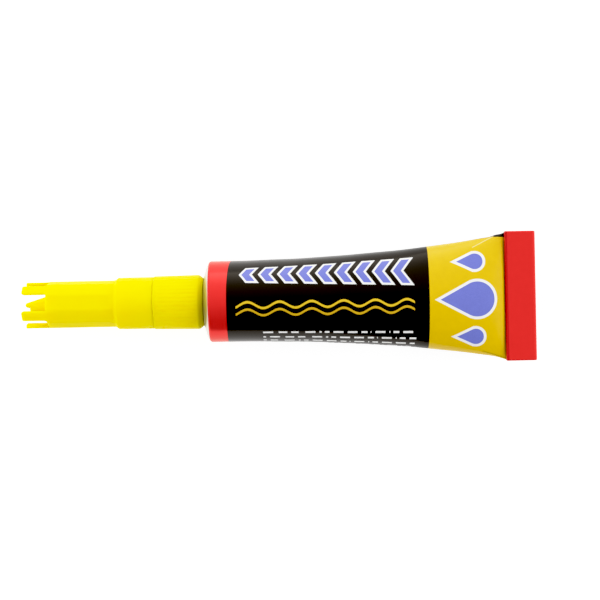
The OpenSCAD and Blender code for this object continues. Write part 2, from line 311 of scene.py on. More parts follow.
def fold_path():
    """Middle line of the folded sheet seen from the side, and the direction that its front faces.

    The bends are half circles: a turn of half a circle moves the sheet up by two layers at the outer
    bend and down by one at the inner bend.
    """
    turn = np.linspace(-np.pi / 2, np.pi / 2, bend_steps)
    flat = np.linspace(inner_bend_x, outer_bend_x, flat_steps)
    outer = stacked(np.cos(turn), np.sin(turn))
    inner = -outer
    bottom = stacked(flat[:-1], 0.0)
    top = stacked(flat[-2:0:-1], 2 * layer_pitch)
    middle = stacked(flat[1:], layer_pitch)
    outer_bend = np.array([outer_bend_x, layer_pitch]) + layer_pitch * outer
    inner_bend = np.array([inner_bend_x, 1.5 * layer_pitch]) + layer_pitch / 2 * inner
    up = np.array([[0.0, 1.0]])
    places = np.concatenate([bottom, outer_bend, top, inner_bend, middle])
    fronts = [up.repeat(len(bottom), 0), -outer, -up.repeat(len(top), 0), -inner]
    fronts.append(up.repeat(len(middle), 0))
    return places, np.concatenate(fronts)


def folded_sheet(half_w, half_t):
    """The flattened tube along the fold: a thin section with round edges, square to the path."""
    places, fronts = fold_path()
    across = half_w * np.sin(round_angle)
    past_edge = np.maximum(0, np.abs(across) - (half_w - half_t))
    lift = np.sign(np.cos(round_angle)) * np.sqrt(np.maximum(0, half_t**2 - past_edge**2))
    spot = places[:, None] + lift[None, :, None] * fronts[:, None]
    return stacked(spot[..., 0], across, axis_z + spot[..., 1])


fold_outside = folded_sheet(fold_half_w, sheet_t / 2)
fold_inside = folded_sheet(half_width(fold_gap / 2), fold_gap / 2)
print(f"fold {2 * fold_half_w:.2f} mm wide, {2 * layer_pitch + sheet_t:.2f} mm thick")

# %% [markdown]
# The shoulder is a shallow cone, slightly domed, with a rolled rim, and the neck carries a right-handed
# thread. A thread can be swept as a ridge and joined on. Here it is only a height above the neck that
# depends on the angle and the distance along the axis, so the neck stays a simple grid.

# %% A thread and a straight line
thread_foot_half = 0.3
thread_flank = 0.2
thread_fade = 0.2


def thread_ridge(height, angle, start, turns):
    """1 on the crest of a thread and 0 between: a trapezium of the distance from the nearest turn.

    The thread climbs one pitch in each turn and fades in over a fifth of a turn at both ends.
    """
    climbed = (height - start) / thread_pitch
    turn = (climbed - angle / (2 * np.pi) + 0.5) % 1 - 0.5
    trapezium = np.clip((thread_foot_half - np.abs(turn)) / thread_flank, 0, 1)
    fade_in = np.clip(climbed / thread_fade, 0, 1)
    fade_out = np.clip((turns - climbed) / thread_fade, 0, 1)
    return trapezium * fade_in * fade_out


def line(start, end, count):
    """As many evenly spaced points (radius, height) as count says, from start to just before end."""
    t = np.linspace(0, 1, count, endpoint=False)[:, None]
    return (1 - t) * np.array(start) + t * np.array(end)


print(f"thread of {thread_pitch} mm pitch, {thread_depth} mm deep")

# %% The shoulder and the neck
band_t = 0.3
shoulder_t = 0.45
rim_r = 0.6
rim_steps = 12
neck_bore_r = 2.0
neck_turns = 4.5
lip = 0.12
dome = 0.14
cone_step = 0.2
fillet = 0.25
band_rows = 5
thread_rows = 74

rim_tilt = np.arctan(slope)
rim_turn = np.linspace(0, np.pi / 2 - rim_tilt, rim_steps)
rim_back = rim_r * np.tan(np.pi / 4 - rim_tilt / 2)
rim_arc_r = tube_r - rim_r + rim_r * np.cos(rim_turn)
rim_arc = stacked(rim_arc_r, rim_r * np.sin(rim_turn) - rim_back)
neck_base_h = (tube_r - neck_root_r) * slope
inner_band_r = tube_r - band_t
bore_foot_h = (tube_r - neck_bore_r) * slope - shoulder_t / np.cos(rim_tilt)
cone_start = rim_arc[-1] + [-cone_step, cone_step * slope]
cone = line(cone_start, (neck_root_r + fillet, neck_base_h - 0.05), 14)
up_cone = (tube_r - cone[:, 0]) / (tube_r - neck_root_r)
cone[:, 1] += 4 * dome * up_cone * (1 - up_cone)
shoulder_profile = np.concatenate([
    line((tube_r, -band_len), (tube_r, -rim_back), band_rows),
    rim_arc,
    cone,
    line((neck_root_r + 0.08, neck_base_h + 0.02), (neck_root_r, neck_base_h + fillet), 3),
    line((neck_root_r, neck_base_h + 0.3), (neck_root_r, neck_top - lip), thread_rows),
    line((neck_root_r, neck_top - lip), (neck_root_r - lip, neck_top), 3),
    line((neck_root_r - lip, neck_top), (neck_bore_r + lip, neck_top), 3),
    line((neck_bore_r + lip, neck_top), (neck_bore_r, neck_top - lip), 3),
    line((neck_bore_r, neck_top - lip), (neck_bore_r, neck_foot), 6),
    line((neck_bore_r, bore_foot_h), (inner_band_r, -shoulder_t), 6),
    line((inner_band_r, -0.6), (inner_band_r, -band_len + 0.2), 4),
])
profile_r, profile_h = shoulder_profile.T[:, :, None]
on_neck = (np.abs(profile_r - neck_root_r) < 0.01) & (profile_h > neck_base_h)
ridge = thread_ridge(profile_h, round_angle, thread_h, neck_turns)
shoulder = turned(profile_r + thread_depth * ridge * on_neck, profile_h, round_angle)
print(f"neck {neck_len} mm long with {neck_turns} turns of thread")

# %% [markdown]
# The rows are now joined into one closed skin. Each point also keeps where it lies on the printed
# sheet, in millimetres: u along the tube from the rim, and v round it from the front line. The print
# is drawn in that map, as it was when the wall was still a flat, straight tube. The lacquer stops
# halfway round the rolled rim, and a second finish on the rows from there on shows the bare metal.

# %% The whole tube
bare_rim_rows = 6
rows_to_inner_bend = (flat_steps - 1) + bend_steps + (flat_steps - 2)

rows = [fold_outside[::-1], wall_outside, shoulder, wall_inside, fold_inside]
tube_points = np.concatenate(rows)
front_column = tube_points[:, tube_columns // 2]
steps_along = np.linalg.norm(np.diff(front_column, axis=0), axis=1)
run_along = np.concatenate([[0], np.cumsum(steps_along)])
fold_rows = len(fold_outside)
wall_end = fold_rows + len(wall_outside)
rim_end = wall_end + band_rows + len(rim_arc)
u = run_along[rim_end - 1] - run_along
u[fold_rows:wall_end] = wall_outside[:, 0, 0] - rim_x
u[:fold_rows] += fold_u - u[fold_rows - 1]
bend_u = u[fold_rows - 1 - rows_to_inner_bend]
v = arc_round(tube_points)
print_map = stacked(u[:, None], v)
print_map = np.concatenate([print_map, print_map[:1]], axis=0)
tube = make_surface("printed_tube", tube_points, closed_rows=True, uv=print_map)
is_bare = np.arange(len(tube_points)) >= rim_end - bare_rim_rows
metal_index = np.repeat(is_bare, tube_columns)
tube.data.polygons.foreach_set("material_index", metal_index.astype(np.int32))
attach(tube, "tube")
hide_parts("tube_body")

# %% [markdown]
# ## The nozzle
#
# The nozzle is one moulding: a ribbed skirt with an inside thread, a plain spigot that holds the cap,
# and a slim spout with a fine hole. The mouth of the skirt follows the shoulder, so it sits down on it
# with hardly a gap. It is a turned profile, and the grooves of the grip and the thread inside are
# again heights that depend on the angle. Rounded corners are short parabolas, as a worn moulding tool
# leaves them.

# %% Rounded profiles
corner_steps = 4


def rounded(corners):
    """A path with rounded corners, from rows of (radius, height, rounding).

    The path leaves each straight line at the rounding's distance before the corner and joins the next
    line as far behind it, along a parabola that is pulled towards the corner.
    """
    corners = np.array(corners)
    at, cut = corners[:, :2], corners[:, 2:]
    ahead, behind = np.roll(at, -1, axis=0) - at, np.roll(at, 1, axis=0) - at
    leave = at + cut * behind / np.linalg.norm(behind, axis=1, keepdims=True)
    join = at + cut * ahead / np.linalg.norm(ahead, axis=1, keepdims=True)
    t = np.linspace(0, 1, corner_steps)[None, :, None]
    curve = (1 - t) ** 2 * leave[:, None] + 2 * t * (1 - t) * at[:, None] + t**2 * join[:, None]
    return curve.reshape(-1, 2)


def refined(path, longest):
    """The same path with extra points, so that no step is longer than the given length."""
    run = np.concatenate([[0], np.cumsum(np.linalg.norm(np.diff(path, axis=0), axis=1))])
    spots = np.union1d(run, np.arange(0, run[-1], longest))
    radii, heights = (np.interp(spots, run, path[:, part]) for part in (0, 1))
    return stacked(radii, heights)


# %% Profile of the nozzle
thread_gap = 0.1
seat_gap = 0.14
mouth_chamfer = 0.6
mouth_edge = 0.82
mouth_dip = 0.15
skirt_taper = 0.1
spigot_r = 3.3
spigot_len = 3.0
spout_foot_r = 2.3
spout_tip_r = 1.0
spout_len = 12.9
hole_r = 0.45
hole_len = 3
funnel_r = 1.6
longest_step = 0.55

socket_r = neck_d / 2 + thread_gap
skirt_top = spout_h - spout_len - spigot_len
spigot_top = spigot_len + skirt_top
seat_h = neck_top + seat_gap
nozzle_outline = rounded([
    (socket_r, mouth_h, 0.08),
    (socket_r + mouth_edge, mouth_h - mouth_dip, 0.06),
    (skirt_r, mouth_h + mouth_chamfer, 0.2),
    (skirt_r - skirt_taper, skirt_top, 0.1),
    (spigot_r, skirt_top, 0.1),
    (spigot_r, spigot_top, 0.15),
    (spout_foot_r, spigot_top, 0.15),
    (spout_tip_r, spout_h, 0.15),
    (hole_r, spout_h, 0.1),
    (hole_r, spout_h - hole_len, 0.1),
    (funnel_r, seat_h, 0.1),
    (socket_r, seat_h, 0.08),
])
socket_wall = line((socket_r, seat_h - 0.15), (socket_r, mouth_h + 0.12), 76)
nozzle_path = np.concatenate([refined(nozzle_outline, longest_step), socket_wall])
print(f"nozzle profile of {len(nozzle_path)} points, skirt {2 * skirt_r:.2f} mm across")

# %% The nozzle
groove_count = 40
groove_columns = 10
groove_depth = 0.035
groove_half_w = 0.19
groove_fade = 0.25
groove_start, groove_stop = 0.2, 0.55
nozzle_turns = 4.0

nozzle_angle = np.linspace(-np.pi, np.pi, groove_columns * groove_count, endpoint=False)
nozzle_r, nozzle_h = nozzle_path.T[:, :, None]
groove_pitch = 2 * np.pi / groove_count
off_groove = ((nozzle_angle / groove_pitch + 0.5) % 1 - 0.5) * groove_pitch * skirt_r
groove = np.maximum(0, 1 - (off_groove / groove_half_w) ** 2)
groove_low, groove_high = mouth_h + mouth_chamfer + groove_start, skirt_top - groove_stop
groove = groove * smooth_step(groove_low, groove_low + groove_fade, nozzle_h)
groove = groove * (1 - smooth_step(groove_high - groove_fade, groove_high, nozzle_h))
on_skirt = nozzle_r > skirt_r - 0.2
in_socket = np.abs(nozzle_r - socket_r) < 0.001
nozzle_thread = thread_ridge(nozzle_h, nozzle_angle, thread_h + thread_pitch / 2, nozzle_turns)
nozzle_r = nozzle_r - groove_depth * groove * on_skirt - thread_depth * nozzle_thread * in_socket
nozzle = make_surface("ribbed_nozzle", turned(nozzle_r, nozzle_h, nozzle_angle), closed_rows=True)
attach(nozzle, "nozzle")
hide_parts("nozzle")

# %% [markdown]
# ## The cap
#
# The cap is a long push-on moulding. Its end is a crown of five fingers round a spike that pierces the
# neck when the cap is turned round, and a flat goes on from each slot along the barrel. Fingers and
# slots could be cut with booleans. A grid is cleaner: all columns share their rows, but a column on a
# finger climbs up the bore, over the end and down the outside, while a column in a slot goes straight
# across the floor. Where the two meet, the rows between them are the side of the finger.

# %% Columns of the cap
finger_count = 5
slot_w = 2.8
crown_depth = 4.0
crown_bore_r = 3.14
barrel_r = 3.87
flat_r = 3.67
edge_round = 0.28
end_round = 0.38
cap_turn = np.radians(6)
slot_inset = 0.012
finger_columns = 17

crown_floor = crown_h - crown_depth
sector = 2 * np.pi / finger_count
barrel_half_slot = np.arcsin(slot_w / 2 / barrel_r)
flat_edge = np.arccos(flat_r / barrel_r) / (barrel_half_slot - slot_inset)
slot_share = np.array([-1, -flat_edge, -0.6, -0.3, 0, 0.3, 0.6, flat_edge, 1])
finger_share = np.sin(np.linspace(-np.pi / 2, np.pi / 2, finger_columns))
sector_share = np.concatenate([slot_share, finger_share])
share = np.tile(sector_share, finger_count)
is_finger = np.tile(np.arange(len(sector_share)) >= len(slot_share), finger_count)
sector_number = np.repeat(np.arange(finger_count), len(sector_share))
middle = (sector_number + 0.5 * is_finger) * sector + cap_turn


def column_angle(radius):
    """Angle of each column at a radius: slots have parallel sides, so they look wider further in."""
    half_slot = np.arcsin(slot_w / 2 / np.clip(radius, crown_bore_r, barrel_r))
    half = np.where(is_finger, sector / 2 - half_slot, half_slot - slot_inset)
    return middle + share * half


half_finger = barrel_r * (sector / 2 - barrel_half_slot)


def corner_drop(rounding):
    """How far a rounded corner falls off near the sides of a finger: a quarter circle."""
    past = np.maximum(0, np.abs(share) * half_finger - (half_finger - rounding))
    return rounding - np.sqrt(np.maximum(0, rounding**2 - past**2))


finger_scale = 1 - corner_drop(end_round) / crown_depth
half_wall = (barrel_r - crown_bore_r) / 2
wall_scale = 1 - corner_drop(edge_round) / half_wall
print(f"cap has {len(share)} columns; a finger is {2 * half_finger:.2f} mm wide")

# %% Rows of the crown
spike_tip_r = 0.42
spike_lean = np.radians(17.2)
edge = 0.2
floor_rows = 5
slot_floor_r = 2.9
spike_margin = 0.25

spike_turn = np.linspace(0.25, np.pi / 2 - spike_lean, 6)
spike_tip_h = crown_h - spike_tip_r * (1 - np.cos(spike_turn))
spike_tip = stacked(spike_tip_r * np.sin(spike_turn), spike_tip_h)
spike_foot_r = spike_tip[-1, 0] + (spike_tip[-1, 1] - crown_floor) * np.tan(spike_lean)
spike_path = np.concatenate([
    spike_tip,
    line(spike_tip[-1], (spike_foot_r, crown_floor), 8)[1:],
    [(spike_foot_r + 0.02, crown_floor + 0.06), (spike_foot_r + 0.12, crown_floor)],
])
end_turn = np.linspace(0, np.pi / 2, 5)
end_sine, end_cosine = edge * np.sin(end_turn), edge * np.cos(end_turn)
end_h = crown_h - edge
inner_end = stacked(crown_bore_r + edge - end_cosine, end_h + end_sine)
outer_end = stacked(barrel_r - edge + end_sine, end_h + end_cosine)
floor_start = spike_foot_r + spike_margin
finger_path = np.concatenate([
    line((floor_start, crown_floor), (crown_bore_r - 0.05, crown_floor), floor_rows),
    line((crown_bore_r, crown_floor + 0.05), (crown_bore_r, end_h), 8),
    inner_end,
    outer_end,
    line((barrel_r, end_h - 0.4), (barrel_r, crown_floor + 0.05), 8),
])
slot_path = np.concatenate([
    line((floor_start, crown_floor), (slot_floor_r, crown_floor), floor_rows),
    line((slot_floor_r, crown_floor), (flat_r, crown_floor), len(finger_path) - floor_rows),
])
print(f"crown: {len(spike_path)} rows on the spike, {len(finger_path)} over a finger or a slot")

# %% Rows of the barrel and the inside
foot_len = 5.8
barrel_start = 6.6
end_gap = 0.4
cap_socket_r = 3.34
cavity_r = 2.72
pin_r = 0.35
pin_len = 2.0
longest_row = 1.5

blend_low, blend_high = cap_h + foot_len, cap_h + barrel_start
socket_end = cap_h + spigot_len + end_gap
cavity_end = spout_h + end_gap
pin_end = cavity_end - pin_len
barrel_path = line((barrel_r, crown_floor - 0.02), (barrel_r, blend_high + 0.02), 26)
blend_t = np.linspace(0, 1, 9)
blend_r = barrel_r + (foot_r - barrel_r) * (1 - np.cos(np.pi * blend_t)) / 2
blend_path = stacked(blend_r, blend_high + (blend_low - blend_high) * blend_t)
foot_outline = rounded([
    (foot_r, blend_low - 0.5, 0.2),
    (foot_r, cap_h, 0.08),
    (cap_socket_r, cap_h, 0.12),
    (cap_socket_r, socket_end, 0.1),
    (cavity_r, socket_end, 0.1),
    (cavity_r, cavity_end, 0.3),
    (pin_r, cavity_end, 0.1),
    (pin_r, pin_end, 0.12),
    (0.04, pin_end, 0.02),
])
foot_path = foot_outline[1:-corner_steps]  # the outline is open: its ends only set the rounding
lower_path = np.concatenate([barrel_path, blend_path, refined(foot_path, longest_row)])
print(f"below the crown: {len(lower_path)} rows down the barrel and up the inside")

# %% The crown with its slots and flats
sharp_below = 0.6
flat_end = (0.15, 0.45)


def at_every_column(path):
    """A path (radius, height) repeated at each column of the cap."""
    return np.repeat(path[:, None, :], len(share), axis=1)


finger_rows = at_every_column(finger_path)
above_floor = finger_rows[..., 1] - crown_floor
rounded_off = 1 + (wall_scale - 1) * smooth_step(0, sharp_below, above_floor)
middle_r = (crown_bore_r + barrel_r) / 2
on_wall = finger_rows[..., 0] >= crown_bore_r
round_r = middle_r + (finger_rows[..., 0] - middle_r) * rounded_off
finger_angle_r = finger_rows[..., 0].copy()
finger_rows[..., 0] = np.where(on_wall, round_r, finger_rows[..., 0])
finger_rows[..., 1] = crown_floor + above_floor * finger_scale
slot_rows = at_every_column(slot_path)
crown_rows = np.where(is_finger[None, :, None], finger_rows, slot_rows)
lower_rows = at_every_column(lower_path)
on_barrel = (np.arange(len(lower_path))[:, None] < len(barrel_path)) & ~is_finger
above_blend = lower_rows[..., 1] - blend_high
flat_fade = smooth_step(*flat_end, above_blend)
across_slot = share * (barrel_half_slot - slot_inset)
flat_radius = (barrel_r - (barrel_r - flat_r) * flat_fade) / np.cos(across_slot)
lower_rows[..., 0] = np.where(on_barrel, np.minimum(barrel_r, flat_radius), lower_rows[..., 0])
reach = np.minimum(barrel_r, flat_r / np.cos(across_slot)) / flat_r
floor_growth = (slot_rows[..., 0] - floor_start) / (flat_r - floor_start)
crown_rows[..., 0] *= np.where(is_finger, 1, 1 + (reach - 1) * floor_growth)
print(f"flats {flat_r} mm from the axis, edges of the fingers rounded by {edge_round} mm")

# %% The cap
cap_rows = np.concatenate([at_every_column(spike_path), crown_rows, lower_rows])
cap_r, cap_height = cap_rows[..., 0], cap_rows[..., 1]
angle_r = cap_r.copy()
crown_part = slice(len(spike_path), len(spike_path) + len(finger_path))
angle_r[crown_part] = np.where(is_finger, finger_angle_r, angle_r[crown_part])
cap_points = turned(cap_r, cap_height, column_angle(angle_r))
tips = turned(np.zeros(2), np.array([crown_h, pin_end]), 0)
cap = make_surface("fingered_cap", cap_points, poles=tips)
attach(cap, "cap")
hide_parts("cap")

# %% [markdown]
# ## Finishes
#
# A finish is a small network of nodes. Written out node by node it is long and hard to read, so a
# field stands for a number at each point of the surface, and ordinary arithmetic on fields adds the
# matching Math nodes.

# %% Fields for the shader
class Field:
    """A number at each point of a surface. Arithmetic with it adds a Math node to its tree."""

    def __init__(self, tree, socket):
        self.tree = tree
        self.socket = socket

    def math(self, operation, *others):
        """The result of a Math node whose first value is this field."""
        node = self.tree.nodes.new("ShaderNodeMath")
        node.operation = operation
        for place, value in enumerate((self, *others)):
            if isinstance(value, Field):
                self.tree.links.new(value.socket, node.inputs[place])
            else:
                node.inputs[place].default_value = value
        return Field(self.tree, node.outputs[0])

    def __add__(self, other):
        return self.math("ADD", other)

    def __sub__(self, other):
        return self.math("SUBTRACT", other)

    def __mul__(self, other):
        return self.math("MULTIPLY", other)

    def __abs__(self):
        return self.math("ABSOLUTE")

    def most(self, other):
        """The greater of two fields: the part that two shapes share."""
        return self.math("MAXIMUM", other)

    def least(self, other):
        """The smaller of two fields: two shapes together."""
        return self.math("MINIMUM", other)

    def inside(self, soft=0.05):
        """1 where a signed distance is below zero and 0 outside, with a soft edge of ink."""
        cover = (self * (-1 / soft)) + 0.5
        return cover.most(0.0).least(1.0)


def new_finish(name):
    """A new material, its node tree and its Principled shader."""
    material = bpy.data.materials.new(name)
    material.use_nodes = True
    tree = material.node_tree
    shader = next(n for n in tree.nodes if n.type == "BSDF_PRINCIPLED")
    return material, tree, shader


def noise(tree, scale, detail=2.0, stretch=(1, 1, 1)):
    """Noise on the piece's own Object coordinates; scale counts the grains in a metre."""
    place = tree.nodes.new("ShaderNodeTexCoord")
    mapping = tree.nodes.new("ShaderNodeMapping")
    mapping.inputs["Scale"].default_value = stretch
    tree.links.new(place.outputs["Object"], mapping.inputs["Vector"])
    node = tree.nodes.new("ShaderNodeTexNoise")
    node.inputs["Scale"].default_value = scale
    node.inputs["Detail"].default_value = detail
    tree.links.new(mapping.outputs["Vector"], node.inputs["Vector"])
    return Field(tree, node.outputs["Fac"])


def mix(tree, share, below, above):
    """Colour between two colours. Each colour is a socket or three numbers."""
    node = tree.nodes.new("ShaderNodeMix")
    node.data_type = "RGBA"
    tree.links.new(share.socket, node.inputs["Factor"])
    for name, colour in (("A", below), ("B", above)):
        socket = next(s for s in node.inputs if s.name == name and s.type == "RGBA")
        if isinstance(colour, tuple):
            socket.default_value = (*colour, 1)
        else:
            tree.links.new(colour, socket)
    return next(s for s in node.outputs if s.type == "RGBA")


def feed(tree, value, shader, socket_name):
    """Link a field or a colour to an input of the shader."""
    source = value.socket if isinstance(value, Field) else value
    tree.links.new(source, shader.inputs[socket_name])


def bump(tree, shader, height, distance):
    """Fine relief on a shader, from a field that is 0 to 1 and a height in metres."""
    node = tree.nodes.new("ShaderNodeBump")
    node.inputs["Strength"].default_value = 1.0
    node.inputs["Distance"].default_value = distance
    tree.links.new(height.socket, node.inputs["Height"])
    feed(tree, node.outputs["Normal"], shader, "Normal")


# %% [markdown]
# The nozzle and the cap are polyethylene: a soft, slightly milky plastic that glows a little where it
# is thin. The colour drifts a touch with the flow of the melt, and the skin is satin with fine
# grain, so broad lights slide over it without a hard mirror edge.

# %% Yellow mouldings
def moulded_yellow(name, colour, deep, roughness):
    """Satin polyethylene: two close yellows mixed by slow noise, light scatter and a fine grain."""
    material, tree, shader = new_finish(name)
    flow = noise(tree, scale=160, detail=3, stretch=(0.3, 1, 1))
    feed(tree, mix(tree, flow, deep, colour), shader, "Base Color")
    grain = noise(tree, scale=5000)
    feed(tree, (grain - 0.5) * 0.12 + roughness, shader, "Roughness")
    bump(tree, shader, grain, distance=4e-6)
    shader.inputs["Subsurface Weight"].default_value = 0.7
    shader.inputs["Subsurface Radius"].default_value = (1.0, 0.85, 0.1)
    shader.inputs["Subsurface Scale"].default_value = 0.0012
    shader.inputs["Specular IOR Level"].default_value = 0.07
    return material


yellows = [
    (cap, "cap_yellow", (0.94, 0.745, 0.004), (0.9, 0.705, 0.003), 0.56),
    (nozzle, "nozzle_yellow", (0.9, 0.74, 0.004), (0.86, 0.695, 0.003), 0.52),
]
for piece, *finish in yellows:
    piece.data.materials.append(moulded_yellow(*finish))
    print("yellow finish on", piece.name)

# %% [markdown]
# The bare shoulder and neck show the metal itself: pale, satin, with fine turning lines round the axis
# from the press. The lines are noise that is stretched round the neck, so it varies along the axis
# only.

# %% Bare aluminium
DULL_METAL = (0.6, 0.59, 0.57)
BRIGHT_METAL = (0.74, 0.73, 0.7)


def bare_aluminium(name, roughness):
    """Satin metal with fine turning lines and a faint cloudiness."""
    material, tree, shader = new_finish(name)
    cloud = noise(tree, scale=400, detail=3)
    feed(tree, mix(tree, cloud, DULL_METAL, BRIGHT_METAL), shader, "Base Color")
    lines = noise(tree, scale=9000, detail=1, stretch=(1, 0.02, 0.02))
    feed(tree, (lines - 0.5) * 0.2 + roughness, shader, "Roughness")
    bump(tree, shader, lines, distance=3e-6)
    shader.inputs["Metallic"].default_value = 1.0
    return material


metal = bare_aluminium("bare_aluminium", roughness=0.36)
print("metal finish", metal.name)

# %% [markdown]
# The wall is printed before it is lacquered: a red band, a black field, a yellow panel and a red tail.
# The decoration is plain: a row of chevrons, two gold waves, rows of fine strokes and three drops, in
# lavender, white and gold. An image could hold it, but shapes that are worked out from distances stay
# sharp at any size. A shape is a signed distance in millimetres, negative inside, and ink covers it
# softly.

# %% Shapes of the print
def slab(u, v, middle, half):
    """Signed distance to an upright rectangle: the greater of the distances across and along."""
    across = abs(u - middle[0]) - half[0]
    along = abs(v - middle[1]) - half[1]
    return across.most(along)


def repeated(u, pitch):
    """Distance along a row from the nearest whole number of pitches."""
    return u.math("PINGPONG", pitch / 2)


def chevrons(u, v, middle, pitch, stroke):
    """Signed distance to a row of chevrons that point to the cap and grow towards the tail.

    A chevron is a bar whose place along the tube shifts with the distance from the row's middle line,
    cut off at a height that grows with the distance along the tube.
    """
    lean = 0.7
    least_height, growth = 1.0, 0.035
    middle_pitch, half_row = 6, 4.5
    off_line = abs(v - middle)
    tip_u = u - off_line * lean
    across = (repeated(tip_u, pitch) - stroke / 2) * float(np.cos(np.arctan(lean)))
    whole = abs(tip_u - middle_pitch * pitch) - half_row * pitch
    return across.most(off_line - u * growth - least_height).most(whole)


def fine_strokes(u, v):
    """Signed distance to rows of short fine strokes, below the front motifs and all over the back.

    Each row is shifted by the sine of its number, and a second, wider row of gaps cuts the strokes
    to uneven lengths.
    """
    row_pitch, half_height = 1.3, 0.2
    row_step, most_shift = 2.4, 3
    stroke_pitch, half_stroke = 2.3, 0.82
    gap_scale, gap_shift, half_gap = 0.61, 0.4, 0.16
    rows_up = abs(v) * (1 / row_pitch)
    in_row = rows_up.math("FRACT") * row_pitch - row_pitch / 2
    shifted = u + (rows_up.math("FLOOR") * row_step).math("SINE") * most_shift
    strokes = repeated(shifted, stroke_pitch) - half_stroke
    gaps = repeated(shifted * gap_scale + gap_shift, stroke_pitch) * -1 + half_gap
    strokes = strokes.most(gaps).most(abs(in_row) - half_height)
    back = slab(u, abs(v), middle=(19.5, 15.6), half=(14.8, 5.6))
    below = slab(u, v, middle=(21.5, -7.5), half=(12.6, 2.45))
    return strokes.most(back.least(below))


def drop(u, v, middle, radius, length):
    """Signed distance to a drop: a disc joined to the two lines that touch it and meet at its tip."""
    x, y = u - middle[0], abs(v - middle[1])
    disc = (x * x + y * y).math("SQRT") - radius
    lean = radius / length
    rise = float(np.sqrt(1 - lean * lean))
    side = y * rise - x * lean - radius
    behind = x * rise + y * lean
    return disc.least(side.most(behind))


# %% [markdown]
# The plain fields follow the edges of the wall: the band ends near the rim with a slightly slanting
# edge, the panel shifts to one side where the fold pulls the wall round, and the red tail starts at
# the fold. Along the creases a pale line is painted highlight above and a dark line painted shade
# below.

# %% Fields, waves, drops and the painted light and shade on the creases
band_u = 3.38
band_skew = 0.005
panel_u = 36.3
panel_half = (10, 10.7)
pull_len, pull_lean = 2.8, 0.18
drop_u, side_drop_u = 44.3, 44.0
side_drops_v = (5.9, -6.7)
panel_v = -0.4
tail_margin = 0.05
wave_u, wave_half = 19.2, (14.6, 0.2)
first_wave_v, second_wave_v = -0.7, -1.9


def yellow_panel(u, v):
    """Signed distance to the panel: a rectangle that shifts round the tube, evenly, near the fold."""
    pull = (u - (fold_u - pull_len)).most(0.0) * pull_lean
    return slab(u, v + pull, (panel_u + panel_half[0], panel_v), panel_half)


def red_fields(u, v):
    """Signed distance to the band and the tail.

    The upper half of the band's edge slants: it moves with the square of the distance from the front
    line, up to a quarter of the way round, and comes back to its start at the back.
    """
    from_line = v.most(0.0).least(v * -1 + float(np.pi * tube_r))
    band = u - band_u - from_line * from_line * band_skew
    tail = u * -1 + (fold_u + tail_margin)
    return band.least(tail)


def gold_waves(u, v):
    """Signed distance to two waves, which are slabs shifted by a sine, and their shine from 0 to 1."""
    wave_len, swing_height = 5.2, 0.5
    swung_v = v - (u * (2 * np.pi / wave_len)).math("SINE") * swing_height
    waves = slab(u, swung_v, (wave_u, first_wave_v), wave_half)
    waves = waves.least(slab(u, swung_v, (wave_u, second_wave_v), wave_half))
    shine = ((swung_v + 2.2) * 0.6).most(0.0).least(1.0)
    return waves, shine


def three_drops(u, v):
    """Signed distance to a large drop between two small ones."""
    drops = drop(u, v, (drop_u, panel_v), radius=2.9, length=6.2)
    for side_v in side_drops_v:
        drops = drops.least(drop(u, v, (side_drop_u, side_v), radius=1.35, length=3.1))
    return drops


def painted_crease_light_lines(u, v):
    """Signed distances to the crease lines: a painted highlight above and painted shade below."""
    from_fold = u * -1 + fold_u
    upper_v = v + from_fold * upper_crease_lean
    lower_v = v * -1 + from_fold * lower_crease_lean
    upper = slab(u, upper_v, (fold_u - 3.5, upper_crease_v), (1.8, 0.06))
    lower = slab(u, lower_v, (fold_u - 1.9, lower_crease_v), (1.9, 0.08))
    return upper, lower


print(f"band up to {band_u} mm, panel from {panel_u} mm, fold from {fold_u:.2f} mm behind the rim")

# %% [markdown]
# The inks lie on each other in the order in which they are printed, each through its own mask. Black
# and yellow are dense. The red is see-through, so a part of the metal's own shine comes through it:
# light at the top of the band, deep below. The clear lacquer on top is glossy and slightly warm.
# Painted light and shade lie over the inks: the crease lines, and a deeper red over the fold's inner
# bend that stands in for its shade.

# %% Printed lacquer
BLACK = (0.0065, 0.005, 0.004)
RED = (0.91, 0.047, 0.045)
# painted shade for the fold's inner bend
PAINTED_BEND_SHADE_RED = (0.4, 0.012, 0.016)
YELLOW = (0.74, 0.505, 0.015)
LAVENDER_DEEP = (0.145, 0.17, 0.57)
LAVENDER_PALE = (0.2, 0.23, 0.66)
WHITE = (0.86, 0.86, 0.86)
GOLD = (0.78, 0.54, 0.04)
DEEP_GOLD = (0.6, 0.37, 0.03)
# painted highlight on the upper crease and painted shade on the lower one
PAINTED_CREASE_HIGHLIGHT = (0.85, 0.75, 0.4)
PAINTED_CREASE_SHADE = (0.42, 0.29, 0.02)
chevron_rim = 0.34
drop_rim = 0.45
red_metal = 0.4
thin_ink = 0.1


def print_layers(tree, u, v):
    """The layers of ink from the first to the last, then a painted highlight and painted shade on the
    creases, each as its cover from 0 to 1 and its colour.
    """
    lilac = mix(tree, noise(tree, scale=6500), LAVENDER_DEEP, LAVENDER_PALE)
    arrows = chevrons(u, v, middle=4.6, pitch=3.1, stroke=1.3)
    drops = three_drops(u, v)
    waves, shine = gold_waves(u, v)
    crease_highlight, crease_shade = painted_crease_light_lines(u, v)
    return [
        (yellow_panel(u, v).inside(), YELLOW),
        ((arrows - chevron_rim).inside(), WHITE),
        (arrows.inside(), lilac),
        (waves.inside(), mix(tree, shine, DEEP_GOLD, GOLD)),
        (fine_strokes(u, v).inside(), WHITE),
        ((drops - drop_rim).inside(), WHITE),
        (drops.inside(), lilac),
        # painted highlight on the upper crease ridge and painted shade on the lower one
        (crease_highlight.inside(soft=0.12), PAINTED_CREASE_HIGHLIGHT),
        (crease_shade.inside(soft=0.3), PAINTED_CREASE_SHADE),
    ]


